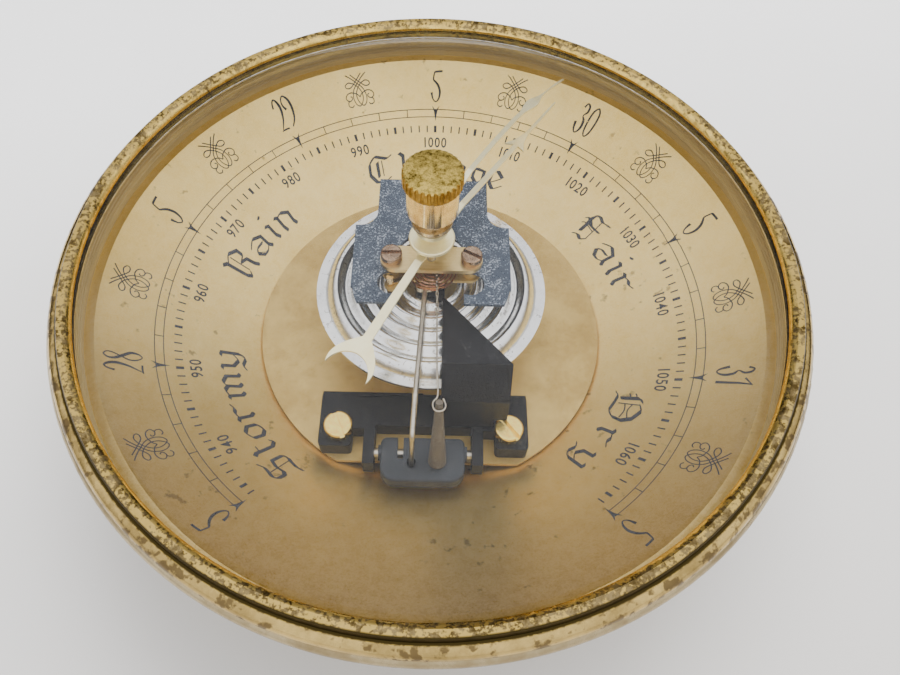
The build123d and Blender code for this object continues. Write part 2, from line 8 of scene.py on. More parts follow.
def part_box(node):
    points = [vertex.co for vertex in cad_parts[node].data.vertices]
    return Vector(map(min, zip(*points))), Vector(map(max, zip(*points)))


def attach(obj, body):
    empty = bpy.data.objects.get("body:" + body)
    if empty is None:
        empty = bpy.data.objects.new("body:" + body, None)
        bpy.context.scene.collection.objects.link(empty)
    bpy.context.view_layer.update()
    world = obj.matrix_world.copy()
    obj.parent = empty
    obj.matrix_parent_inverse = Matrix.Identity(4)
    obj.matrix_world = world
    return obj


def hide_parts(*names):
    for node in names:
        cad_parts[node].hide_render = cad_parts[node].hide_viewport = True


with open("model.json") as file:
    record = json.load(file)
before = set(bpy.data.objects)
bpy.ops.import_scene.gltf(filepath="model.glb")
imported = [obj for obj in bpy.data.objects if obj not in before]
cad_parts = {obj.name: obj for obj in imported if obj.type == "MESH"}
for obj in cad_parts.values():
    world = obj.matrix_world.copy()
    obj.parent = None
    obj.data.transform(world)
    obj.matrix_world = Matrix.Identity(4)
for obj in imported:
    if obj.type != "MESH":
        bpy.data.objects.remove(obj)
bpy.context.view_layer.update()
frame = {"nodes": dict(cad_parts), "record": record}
NODES = frame["nodes"]

MM = 0.001
SCALE_R = 48.0  # mm, inner circle of the pressure scale
SCALE_Z = 20.6  # mm, height of that circle above the back
DISH = 16.0
DIAL_LIFT = 0.03  # mm, how far the ink stands off the dial
MB_STEP = 2.1557  # degrees of dial per millibar
MB_TOP = 1000
INCH_TENTH = 7.16  # degrees of dial per tenth of an inch
SCALE_END = 143.3


# ---- meshes -------------------------------------------------------------------------------------
def piece(name, points, faces, material, body, smooth=True):
    """A mesh from points in millimetres, riding on a body."""
    mesh = bpy.data.meshes.new(name)
    mesh.from_pydata([Vector(p) * MM for p in points], [], faces)
    mesh.validate()
    for face in mesh.polygons:
        face.use_smooth = smooth
    mesh.materials.append(material)
    thing = bpy.data.objects.new(name, mesh)
    bpy.context.scene.collection.objects.link(thing)
    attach(thing, body)
    return thing


def between(a, b, c, d, t):
    """Catmull-Rom value from b to c at share t."""
    square = 2 * a - 5 * b + 4 * c - d
    cube = 3 * b - a - 3 * c + d
    return 0.5 * (2 * b + (c - a) * t + square * t * t + cube * t**3)


def rounded(points, steps=5):
    """Smooth curve through the points (Catmull-Rom), whatever numbers each point carries."""
    out = []
    for i in range(len(points) - 1):
        p0, p1 = points[max(i - 1, 0)], points[i]
        p2, p3 = points[i + 1], points[min(i + 2, len(points) - 1)]
        for k in range(steps):
            t = k / steps
            out.append(tuple(between(*values, t) for values in zip(p0, p1, p2, p3)))
    out.append(tuple(points[-1]))
    return out


def tube(path, radius, sides=10, closed=False):
    """Points and faces of a round wire along a path of 3-D points."""
    path = [Vector(p) for p in path]
    points, faces, count = [], [], len(path)
    side = Vector((0, 0, 1))
    for i, here in enumerate(path):
        before = path[i - 1] if i or closed else here
        after = path[(i + 1) % count] if i < count - 1 or closed else here
        along = (after - before).normalized()
        side = (side - along * side.dot(along)).normalized()
        other = along.cross(side)
        for k in range(sides):
            a = 2 * math.pi * k / sides
            points.append(here + (side * math.cos(a) + other * math.sin(a)) * radius)
    for i in range(count if closed else count - 1):
        a, b = i * sides, (i + 1) % count * sides
        for k in range(sides):
            n = (k + 1) % sides
            faces.append((a + k, a + n, b + n, b + k))
    if not closed:
        faces.append(tuple(range(sides - 1, -1, -1)))
        faces.append(tuple(range((count - 1) * sides, count * sides)))
    return points, faces


def joined(parts):
    """One list of points and faces from several."""
    points, faces = [], []
    for more_points, more_faces in parts:
        start = len(points)
        points += more_points
        faces += [tuple(start + i for i in face) for face in more_faces]
    return points, faces


# ---- shader nodes -------------------------------------------------------------------------------
def add(tree, kind, inputs=None, **settings):
    """A node with its settings and inputs; an input that is a socket is linked."""
    node = tree.nodes.new(kind)
    for key, value in settings.items():
        setattr(node, key, value)
    for key, value in (inputs or {}).items():
        if isinstance(value, bpy.types.NodeSocket):
            tree.links.new(value, node.inputs[key])
        else:
            node.inputs[key].default_value = value
    return node


def noise(tree, place, scale, detail, roughness=0.5):
    inputs = {"Vector": place, "Scale": scale, "Detail": detail, "Roughness": roughness}
    return add(tree, "ShaderNodeTexNoise", inputs).outputs[0]


def maths(tree, operation, *values):
    return add(tree, "ShaderNodeMath", dict(enumerate(values)), operation=operation).outputs[0]


def effect(name, inputs, outputs):
    """Empty node group with named sockets; returns the tree, its inputs and its output node."""
    tree = bpy.data.node_groups.new(name, "ShaderNodeTree")
    kinds = {"F": "NodeSocketFloat", "V": "NodeSocketVector", "C": "NodeSocketColor"}
    for label, kind, default in inputs:
        socket = tree.interface.new_socket(label, in_out="INPUT", socket_type=kinds[kind])
        if default is not None:
            socket.default_value = default
    for label, kind in outputs:
        tree.interface.new_socket(label, in_out="OUTPUT", socket_type=kinds[kind])
    entry = tree.nodes.new("NodeGroupInput")
    return tree, entry.outputs, tree.nodes.new("NodeGroupOutput")


def send(tree, node, **values):
    for label, socket in values.items():
        tree.links.new(socket, node.inputs[label.replace("_", " ")])


def make_mottle():
    """Two colours that wander into each other at two sizes."""
    tree, given, out = effect(
        "mottle",
        [("Place", "V", None), ("Scale", "F", 100.0), ("Light", "C", (0.8, 0.8, 0.8, 1)),
         ("Dark", "C", (0.4, 0.4, 0.4, 1)), ("Balance", "F", 0.5), ("Hardness", "F", 0.3)],
        [("Color", "C"), ("Mask", "F")],
    )
    place, scale = given["Place"], given["Scale"]
    large = noise(tree, place, scale, 5.0, 0.62)
    finer = maths(tree, "MULTIPLY", scale, 5.3)
    small = noise(tree, place, finer, 4.0, 0.7)
    both = maths(tree, "MULTIPLY_ADD", small, 0.45, large)
    centred = maths(tree, "SUBTRACT", both, 0.225)
    low = maths(tree, "SUBTRACT", given["Balance"], given["Hardness"])
    high = maths(tree, "ADD", given["Balance"], given["Hardness"])
    span = {"Value": centred, "From Min": low, "From Max": high}
    mask = add(tree, "ShaderNodeMapRange", span, interpolation_type="SMOOTHSTEP").outputs[0]
    mix = add(tree, "ShaderNodeMix", data_type="RGBA")
    colours = [socket for socket in mix.inputs if socket.type == "RGBA"]
    tree.links.new(mask, mix.inputs[0])
    tree.links.new(given["Dark"], colours[0])
    tree.links.new(given["Light"], colours[1])
    result = [socket for socket in mix.outputs if socket.type == "RGBA"][0]
    send(tree, out, Color=result, Mask=mask)
    return tree


def make_specks():
    """Small irregular spots, 1 inside a spot."""
    tree, given, out = effect(
        "specks", [("Place", "V", None), ("Scale", "F", 900.0), ("Amount", "F", 0.3)], [("Mask", "F")]
    )
    fine = noise(tree, given["Place"], given["Scale"], 3.0, 0.55)
    patch_scale = maths(tree, "MULTIPLY", given["Scale"], 0.13)
    patches = noise(tree, given["Place"], patch_scale, 2.0)
    level = maths(tree, "MULTIPLY_ADD", patches, 0.35, fine)
    start = maths(tree, "SUBTRACT", 0.98, given["Amount"])
    end = maths(tree, "ADD", start, 0.07)
    mask = add(tree, "ShaderNodeMapRange", {"Value": level, "From Min": start, "From Max": end})
    send(tree, out, Mask=mask.outputs[0])
    return tree


def make_grain():
    """Fine pitted grain of rolled or blasted metal: a height and a value around one half."""
    tree, given, out = effect(
        "grain", [("Place", "V", None), ("Scale", "F", 2500.0), ("Coarse", "F", 0.3)], [("Height", "F")]
    )
    fine = noise(tree, given["Place"], given["Scale"], 3.0, 0.75)
    wide = maths(tree, "MULTIPLY", given["Scale"], 0.21)
    rough = noise(tree, given["Place"], wide, 2.0)
    send(tree, out, Height=maths(tree, "MULTIPLY_ADD", rough, given["Coarse"], fine))
    return tree


def make_turned():
    """Distance from the dial axis, and fine rings left by turning."""
    tree, given, out = effect(
        "turned", [("Place", "V", None), ("Pitch", "F", 0.0002)], [("Radius", "F"), ("Rings", "F")]
    )
    flat = add(tree, "ShaderNodeVectorMath", {0: given["Place"], 1: (1, 1, 0)}, operation="MULTIPLY")
    radius = add(tree, "ShaderNodeVectorMath", {0: flat.outputs[0]}, operation="LENGTH")
    split = add(tree, "ShaderNodeSeparateXYZ", {0: given["Place"]})
    slope = maths(tree, "ADD", split.outputs["Z"], radius.outputs["Value"])
    count = maths(tree, "DIVIDE", slope, given["Pitch"])
    line = add(tree, "ShaderNodeCombineXYZ", {0: count})
    rings = noise(tree, line.outputs[0], 1.0, 3.0, 0.6)
    send(tree, out, Radius=radius.outputs["Value"], Rings=rings)
    return tree


def make_brushed():
    """Straight fine lines along one direction, given by how much each axis is stretched."""
    tree, given, out = effect(
        "brushed", [("Place", "V", None), ("Stretch", "V", (4000, 100, 4000))], [("Lines", "F")]
    )
    stretch = {0: given["Place"], 1: given["Stretch"]}
    pulled = add(tree, "ShaderNodeVectorMath", stretch, operation="MULTIPLY")
    send(tree, out, Lines=noise(tree, pulled.outputs[0], 1.0, 4.0, 0.65))
    return tree


MOTTLE = make_mottle()
SPECKS = make_specks()
GRAIN = make_grain()
TURNED = make_turned()
BRUSHED = make_brushed()


class Finish:
    """A material being built: its node tree, its shader and the object coordinates it is laid out in."""

    def __init__(self, name, metallic=0.0, roughness=0.5, color=None, **sockets):
        self.material = bpy.data.materials.new(name)
        self.material.use_nodes = True
        self.tree = self.material.node_tree
        self.shader = self.tree.nodes["Principled BSDF"]
        self.place = add(self.tree, "ShaderNodeTexCoord").outputs["Object"]
        self.shader.inputs["Metallic"].default_value = metallic
        self.shader.inputs["Roughness"].default_value = roughness
        if color:
            self.shader.inputs["Base Color"].default_value = (*color, 1)
        for label, value in sockets.items():
            self.shader.inputs[label.replace("_", " ")].default_value = value

    def use(self, group, **values):
        node = add(self.tree, "ShaderNodeGroup", node_tree=group)
        self.tree.links.new(self.place, node.inputs["Place"])
        for label, value in values.items():
            if isinstance(value, bpy.types.NodeSocket):
                self.tree.links.new(value, node.inputs[label])
            else:
                node.inputs[label].default_value = value
        return node.outputs

    def mottle(self, scale, light, dark, balance=0.5, hardness=0.3):
        colours = {"Light": (*light, 1), "Dark": (*dark, 1)}
        return self.use(MOTTLE, Scale=scale, Balance=balance, Hardness=hardness, **colours)

    def math(self, operation, *values):
        return maths(self.tree, operation, *values)

    def span(self, value, low, high, to_low=0.0, to_high=1.0):
        """Value carried smoothly from one range to another."""
        inputs = {"Value": value, "From Min": low, "From Max": high, "To Min": to_low, "To Max": to_high}
        return add(self.tree, "ShaderNodeMapRange", inputs).outputs[0]

    def blend(self, share, first, second, mode="MIX"):
        node = add(self.tree, "ShaderNodeMix", data_type="RGBA", blend_type=mode)
        slots = [s for s in node.inputs if s.type == "RGBA"]
        for socket, value in ((node.inputs[0], share), (slots[0], first), (slots[1], second)):
            if isinstance(value, bpy.types.NodeSocket):
                self.tree.links.new(value, socket)
            else:
                socket.default_value = value if socket is node.inputs[0] else (*value, 1)
        return [s for s in node.outputs if s.type == "RGBA"][0]

    def color(self, socket):
        self.tree.links.new(socket, self.shader.inputs["Base Color"])

    def roughness(self, mask, low, high):
        self.tree.links.new(self.span(mask, 0.0, 1.0, low, high), self.shader.inputs["Roughness"])

    def bump(self, height, distance, strength=1.0, under=None):
        inputs = {"Height": height, "Distance": distance, "Strength": strength}
        if under:
            inputs["Normal"] = under
        node = add(self.tree, "ShaderNodeBump", inputs)
        self.tree.links.new(node.outputs[0], self.shader.inputs["Normal"])
        return node.outputs[0]


def metal(name, light, dark, scale, rough, grain, grain_scale, metallic=1.0):
    """Metal whose colour and gloss wander a little, with a fine grain of the given depth in mm."""
    finish = Finish(name, metallic)
    tone = finish.mottle(scale, light, dark, hardness=0.25)
    finish.color(tone["Color"])
    finish.roughness(tone["Mask"], rough[1], rough[0])
    finish.bump(finish.use(GRAIN, Scale=grain_scale)["Height"], grain * MM)
    return finish.material


# ---- finishes -----------------------------------------------------------------------------------
def dial_gilt():
    """Champagne gilt, blasted to a fine satin, with painted shade browning it towards the rim (most on the
    near, lower side) and stained in soft clouds.
    """
    finish = Finish("dial_gilt", 1.0)
    clouds = finish.mottle(38.0, (0.90, 0.64, 0.20), (0.76, 0.51, 0.12), hardness=0.22)
    radius = finish.use(TURNED)["Radius"]
    split = add(finish.tree, "ShaderNodeSeparateXYZ", {0: finish.place})
    # Painted shade: dark brown is blended into the gilt towards the rim, reaching much further in on the
    # near (-Y) side.
    low_side = finish.math("MULTIPLY_ADD", split.outputs["Y"], -0.45, radius)
    rim = finish.span(low_side, 0.058, 0.088)
    rim_shaded_gilt = finish.blend(rim, clouds["Color"], (0.36, 0.21, 0.035))
    speckle = finish.use(GRAIN, Scale=2600.0, Coarse=0.5)["Height"]
    speckled = finish.blend(finish.span(speckle, 0.45, 0.85, 0.0, 0.34), rim_shaded_gilt, (1.0, 0.82, 0.42))
    spots = finish.use(SPECKS, Scale=420.0, Amount=0.12)["Mask"]
    finish.color(finish.blend(finish.math("MULTIPLY", spots, 0.6), speckled, (0.20, 0.13, 0.05)))
    finish.roughness(speckle, 0.26, 0.42)
    finish.bump(speckle, 0.018 * MM)
    return finish.material


def printing_ink():
    """Blue-black printing ink, slightly uneven where it dried thin."""
    finish = Finish("printing_ink", 0.0, 0.42)
    tone = finish.mottle(900.0, (0.022, 0.024, 0.032), (0.008, 0.008, 0.011))
    finish.color(tone["Color"])
    finish.bump(finish.use(GRAIN, Scale=3500.0)["Height"], 0.01 * MM)
    return finish.material


def bezel_brass():
    """Turned brass: ragged bright bevel, brown tarnish on the bead, olive-black painted shade in the
    groove, spotted band.
    """
    finish = Finish("bezel_brass", 1.0)
    turned = finish.use(TURNED, Pitch=0.00035)
    radius = turned["Radius"]
    ragged = finish.use(GRAIN, Scale=420.0, Coarse=0.9)["Height"]
    uneven = finish.math("MULTIPLY_ADD", ragged, 0.0017, radius)
    gold = finish.mottle(300.0, (1.0, 0.72, 0.20), (0.62, 0.40, 0.08), 0.42)
    brown = finish.mottle(650.0, (0.34, 0.25, 0.11), (0.10, 0.065, 0.02), hardness=0.18)
    bead = finish.span(uneven, 0.06035, 0.06062)
    color = finish.blend(bead, gold["Color"], brown["Color"])
    flecks = finish.use(SPECKS, Scale=1500.0, Amount=0.33)["Mask"]
    color = finish.blend(finish.math("MULTIPLY", flecks, 0.75), color, (0.80, 0.56, 0.15))
    # Painted shade: the groove (step wall) between the bead and the outer band is painted near-black
    # olive.
    inside, outside = finish.span(radius, 0.0604, 0.0606), finish.span(radius, 0.06145, 0.0612)
    groove = finish.math("MULTIPLY", inside, outside)
    color = finish.blend(groove, color, (0.05, 0.035, 0.01))
    band_tone = finish.mottle(110.0, (0.66, 0.47, 0.16), (0.28, 0.19, 0.06), 0.5)
    band = finish.span(radius, 0.0613, 0.0615)
    color = finish.blend(band, color, band_tone["Color"])
    spots = finish.use(SPECKS, Scale=520.0, Amount=0.27)["Mask"]
    dark_spots = finish.math("MULTIPLY", spots, finish.math("MULTIPLY", band, 0.8))
    finish.color(finish.blend(dark_spots, color, (0.09, 0.06, 0.03)))
    bead_only = finish.math("MULTIPLY", bead, finish.math("SUBTRACT", 1.0, band))
    dull = finish.math("ADD", bead_only, finish.math("MULTIPLY", spots, 0.6))
    finish.roughness(finish.math("MINIMUM", dull, 1.0), 0.17, 0.44)
    rings = finish.bump(turned["Rings"], 0.008 * MM)
    finish.bump(ragged, 0.05 * MM, under=rings)
    return finish.material


def case_brass():
    """The rolled lip and drum: brass gone grey-brown, partly from tarnish and partly as painted shade of
    the side under the lip; still shiny, stained along its length.
    """
    return metal("case_brass", (0.50, 0.41, 0.24), (0.26, 0.19, 0.09), 70.0, (0.20, 0.36), 0.012, 900.0)


def cover_brass():
    return metal("cover_brass", (0.66, 0.55, 0.33), (0.45, 0.35, 0.19), 60.0, (0.30, 0.48), 0.015, 1500.0)


def plate_brass():
    tones = (0.62, 0.44, 0.15), (0.48, 0.32, 0.09)
    return metal("plate_brass", *tones, 90.0, (0.40, 0.58), 0.02, 2200.0, 0.85)


def strap_brass():
    finish = Finish("strap_brass", 1.0)
    lines = finish.use(BRUSHED, Stretch=(300, 6000, 300))["Lines"]
    finish.color(finish.blend(lines, (0.56, 0.39, 0.15), (0.94, 0.74, 0.36)))
    finish.roughness(lines, 0.24, 0.42)
    finish.bump(lines, 0.006 * MM)
    return finish.material


def hand_brass():
    """Pale gilt sheet of the hands, with short scratches along them."""
    finish = Finish("hand_brass", 0.75)
    lines = finish.use(BRUSHED, Stretch=(4500, 900, 1500))["Lines"]
    tone = finish.mottle(260.0, (1.0, 0.92, 0.58), (0.88, 0.74, 0.36), 0.42)
    finish.color(finish.blend(finish.math("MULTIPLY", lines, 0.5), tone["Color"], (0.97, 0.90, 0.62)))
    finish.roughness(lines, 0.22, 0.40)
    finish.bump(lines, 0.006 * MM)
    return finish.material


def knob_brass():
    """Grainy olive-gold knurled head over a mirror-smooth boss, its beige and reddish tone a painted
    reflection.
    """
    finish = Finish("knob_brass", 1.0)
    split = add(finish.tree, "ShaderNodeSeparateXYZ", {0: finish.place})
    low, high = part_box("knob")
    neck = low.z + (high.z - low.z) * 0.665
    head = finish.span(split.outputs["Z"], neck - 0.0001, neck + 0.0001)
    crown = finish.span(split.outputs["Z"], high.z - 0.0006, high.z - 0.0002)
    crystals = finish.use(GRAIN, Scale=1900.0, Coarse=0.45)["Height"]
    bright = finish.span(crystals, 0.50, 0.86)
    grainy = finish.blend(bright, (0.07, 0.045, 0.006), (0.80, 0.58, 0.14))
    side = finish.mottle(420.0, (0.66, 0.45, 0.12), (0.24, 0.14, 0.03))["Color"]
    # Painted reflection: the boss's pale beige and reddish tones stand for what its smooth surface
    # mirrors.
    boss_reflection_tone = finish.mottle(260.0, (0.93, 0.80, 0.58), (0.62, 0.40, 0.22), 0.38)
    body = finish.blend(crown, side, grainy)
    finish.color(finish.blend(head, boss_reflection_tone["Color"], body))
    finish.roughness(head, 0.12, 0.38)
    finish.bump(crystals, 0.06 * MM, head)
    return finish.material


def bright_brass(name, light, dark, stretch):
    finish = Finish(name, 1.0)
    lines = finish.use(BRUSHED, Stretch=stretch)["Lines"]
    tone = finish.mottle(700.0, light, dark, 0.4)
    finish.color(tone["Color"])
    finish.roughness(lines, 0.16, 0.34)
    finish.bump(lines, 0.01 * MM)
    return finish.material


def steel():
    finish = Finish("steel", 1.0)
    lines = finish.use(BRUSHED, Stretch=(3000, 260, 3000))["Lines"]
    tone = finish.mottle(180.0, (0.66, 0.62, 0.54), (0.34, 0.29, 0.22), 0.45)
    finish.color(tone["Color"])
    finish.roughness(lines, 0.20, 0.38)
    finish.bump(lines, 0.008 * MM)
    return finish.material


def capsule_silver():
    """Bright tinned skin with fine radial marks and dusty patches."""
    finish = Finish("capsule_silver", 1.0)
    turned = finish.use(TURNED, Pitch=0.00025)
    tone = finish.mottle(160.0, (0.97, 0.97, 0.96), (0.70, 0.70, 0.69), 0.4)
    spots = finish.use(SPECKS, Scale=1300.0, Amount=0.2)["Mask"]
    finish.color(finish.blend(finish.math("MULTIPLY", spots, 0.5), tone["Color"], (0.30, 0.28, 0.25)))
    finish.roughness(tone["Mask"], 0.30, 0.17)
    rings = finish.bump(turned["Rings"], 0.01 * MM)
    finish.bump(finish.use(GRAIN, Scale=1400.0)["Height"], 0.012 * MM, under=rings)
    return finish.material


def black_moulding(name, base, dust, rough=(0.36, 0.55)):
    """Satin black, faintly uneven, with specks of pale dust."""
    finish = Finish(name, Specular_IOR_Level=0.22)
    tone = finish.mottle(240.0, [c * 1.7 for c in base], base)
    specks = finish.use(SPECKS, Scale=2300.0, Amount=0.2)["Mask"]
    finish.color(finish.blend(finish.math("MULTIPLY", specks, 0.55), tone["Color"], dust))
    finish.roughness(tone["Mask"], rough[0], rough[1])
    finish.bump(finish.use(GRAIN, Scale=2200.0)["Height"], 0.03 * MM)
    return finish.material


def blued_plate():
    """Slate-blue satin steel with a fine pale speckle."""
    finish = Finish("blued_plate", 0.35)
    tone = finish.mottle(120.0, (0.042, 0.055, 0.08), (0.026, 0.036, 0.056))
    specks = finish.use(SPECKS, Scale=3200.0, Amount=0.24)["Mask"]
    finish.color(finish.blend(finish.math("MULTIPLY", specks, 0.45), tone["Color"], (0.55, 0.60, 0.68)))
    finish.roughness(tone["Mask"], 0.40, 0.52)
    finish.bump(finish.use(GRAIN, Scale=2600.0)["Height"], 0.015 * MM)
    return finish.material


def spacer_beige():
    """Lacquered spacer with turned lines."""
    finish = Finish("spacer_beige", 0.55)
    lines = finish.use(BRUSHED, Stretch=(60, 60, 9000))["Lines"]
    finish.color(finish.blend(lines, (0.20, 0.15, 0.07), (0.52, 0.42, 0.24)))
    finish.roughness(lines, 0.30, 0.48)
    finish.bump(lines, 0.02 * MM)
    return finish.material


def clear_glass():
    """Clear glass that lets the studio light through to the dial."""
    finish = Finish("clear_glass", 0.0, 0.0, (1, 1, 1), Transmission_Weight=1.0, IOR=1.27)
    tree = finish.tree
    film = finish.use(SPECKS, Scale=300.0, Amount=0.11)["Mask"]
    finish.roughness(film, 0.0, 0.12)
    out = tree.nodes["Material Output"]
    path = add(tree, "ShaderNodeLightPath")
    clear = add(tree, "ShaderNodeBsdfTransparent", {"Color": (0.97, 0.98, 0.97, 1)})
    mix = add(tree, "ShaderNodeMixShader", {0: path.outputs["Is Shadow Ray"]})
    tree.links.new(finish.shader.outputs[0], mix.inputs[1])
    tree.links.new(clear.outputs[0], mix.inputs[2])
    tree.links.new(mix.outputs[0], out.inputs["Surface"])
    return finish.material


INK = printing_ink()
STEEL = steel()
FINISHES = {
    "case_brass": case_brass(),
    "cover_brass": cover_brass(),
    "bezel_brass": bezel_brass(),
    "glass": clear_glass(),
    "gasket_black": black_moulding("gasket_black", (0.012, 0.012, 0.012), (0.1, 0.1, 0.09)),
    "ring_silver": bright_brass("ring_silver", (0.86, 0.85, 0.83), (0.6, 0.58, 0.55), (200, 200, 5000)),
    "ring_beige": spacer_beige(),
    "dial_gilt": dial_gilt(),
    "plate_brass": plate_brass(),
    "strap_brass": strap_brass(),
    "bracket_black": black_moulding("bracket_black", (0.004, 0.004, 0.005), (0.07, 0.065, 0.055)),
    "screw_brass": bright_brass("screw_brass", (1.0, 0.76, 0.22), (0.78, 0.52, 0.10), (3500, 3500, 300)),
    "screw_dark": bright_brass("screw_dark", (0.42, 0.29, 0.19), (0.18, 0.11, 0.07), (3500, 500, 3500)),
    "steel": STEEL,
    "leaf_black": black_moulding("leaf_black", (0.004, 0.004, 0.005), (0.06, 0.06, 0.06), (0.34, 0.5)),
    "capsule_silver": capsule_silver(),
    "stem_brass": bright_brass("stem_brass", (0.72, 0.60, 0.40), (0.45, 0.34, 0.20), (3000, 3000, 300)),
    "plate_blue": blued_plate(),
    "rocker_grey": black_moulding("rocker_grey", (0.022, 0.024, 0.028), (0.10, 0.10, 0.10)),
    "post_brown": black_moulding("post_brown", (0.08, 0.066, 0.05), (0.22, 0.2, 0.17), (0.30, 0.46)),
    "chain_steel": bright_brass("chain_steel", (0.60, 0.55, 0.48), (0.30, 0.25, 0.20), (2500, 2500, 2500)),
    "drum_brass": bright_brass("drum_brass", (0.86, 0.66, 0.34), (0.55, 0.38, 0.16), (3000, 3000, 900)),
    "hairspring_copper": bright_brass(
        "hairspring_copper", (0.80, 0.44, 0.26), (0.46, 0.22, 0.12), (900, 900, 4000)
    ),
    "pointer_cream": hand_brass(),
    "hand_brass": hand_brass(),
    "knob_brass": knob_brass(),
    "bush_brass": bright_brass("bush_brass", (0.90, 0.76, 0.52), (0.62, 0.44, 0.24), (400, 400, 5000)),
}
for entry in frame["record"]["subparts"]:
    for holder in NODES[entry["node"]].material_slots:
        holder.material = FINISHES[entry["material_slot"]]


# ---- printing on the dial -----------------------------------------------------------------------
def dial_height(radius):
    return SCALE_Z + DISH * ((radius / SCALE_R) ** 2 - 1)


def on_dial(angle, radius, lift=DIAL_LIFT):
    """Point on the dial at an angle clockwise from the top, in degrees."""
    a = math.radians(angle)
    return radius * math.sin(a), radius * math.cos(a), dial_height(radius) + lift


def lettered(x, y, angle, radius, lift=DIAL_LIFT):
    """Point of a letter drawn flat at (x, y), bent round the dial at that angle and radius."""
    return on_dial(angle + math.degrees(x / radius), radius + y, lift)


def arc_line(radius, start, end, width, steps=240):
    points, faces = [], []
    for i in range(steps + 1):
        angle = start + (end - start) * i / steps
        points += [on_dial(angle, radius - width / 2), on_dial(angle, radius + width / 2)]
    for i in range(steps):
        faces.append((2 * i, 2 * i + 1, 2 * i + 3, 2 * i + 2))
    return points, faces


def tick(angle, inner, outer, width):
    half = math.degrees(width / 2 / ((inner + outer) / 2))
    corners = [(angle - half, inner), (angle - half, outer), (angle + half, outer), (angle + half, inner)]
    return [on_dial(a, r) for a, r in corners], [(0, 1, 2, 3)]


def arrow(angle):
    """Swallow-tailed arrowhead that points at the inner circle."""
    shape = [(0, -0.75), (0.34, 0.9), (0.78, 1.95), (0.0, 1.15), (-0.78, 1.95), (-0.34, 0.9)]
    points = [lettered(x, y, angle, SCALE_R, DIAL_LIFT * 1.5) for x, y in shape]
    return points, [(0, 1, 3), (1, 2, 3), (0, 3, 5), (3, 4, 5)]


def strip(left, right):
    faces = [(2 * i, 2 * i + 1, 2 * i + 3, 2 * i + 2) for i in range(len(left) - 1)]
    return [p for pair in zip(left, right) for p in pair], faces


def pen(stroke, angle, radius, lift=DIAL_LIFT):
    """Round pen stroke: each point carries its half width."""
    line = rounded(stroke, 6)
    left, right = [], []
    for i, (x, y, half) in enumerate(line):
        before, after = line[max(i - 1, 0)], line[min(i + 1, len(line) - 1)]
        along = Vector((after[0] - before[0], after[1] - before[1])).normalized()
        side = Vector((-along.y, along.x)) * half
        left.append(lettered(x + side.x, y + side.y, angle, radius, lift))
        right.append(lettered(x - side.x, y - side.y, angle, radius, lift))
    return strip(left, right)


NIB = (0.33, 0.20)  # half of the broad nib's edge, in millimetres
HAIR = 0.1


def broad_pen(stroke, angle, radius, x0, lift=DIAL_LIFT):
    """Broad-nib stroke, thick or thin by its direction, as in black letter."""
    parts = []
    for i in range(len(stroke) - 1):
        (ax, ay), (bx, by) = stroke[i], stroke[i + 1]
        low_b, high_b = (bx - NIB[0], by - NIB[1]), (bx + NIB[0], by + NIB[1])
        run = [(ax - NIB[0], ay - NIB[1]), (ax + NIB[0], ay + NIB[1]), high_b, low_b]
        joint = [low_b, (bx - 0.08, by + 0.10), high_b, (bx + 0.08, by - 0.10)]
        for corners, above in ((run, 0.001 * (i % 3)), (joint, 0.004)):
            points = [lettered(x0 + x, y, angle, radius, lift + above) for x, y in corners]
            parts.append((points, [(0, 1, 2, 3)]))
    return joined(parts)


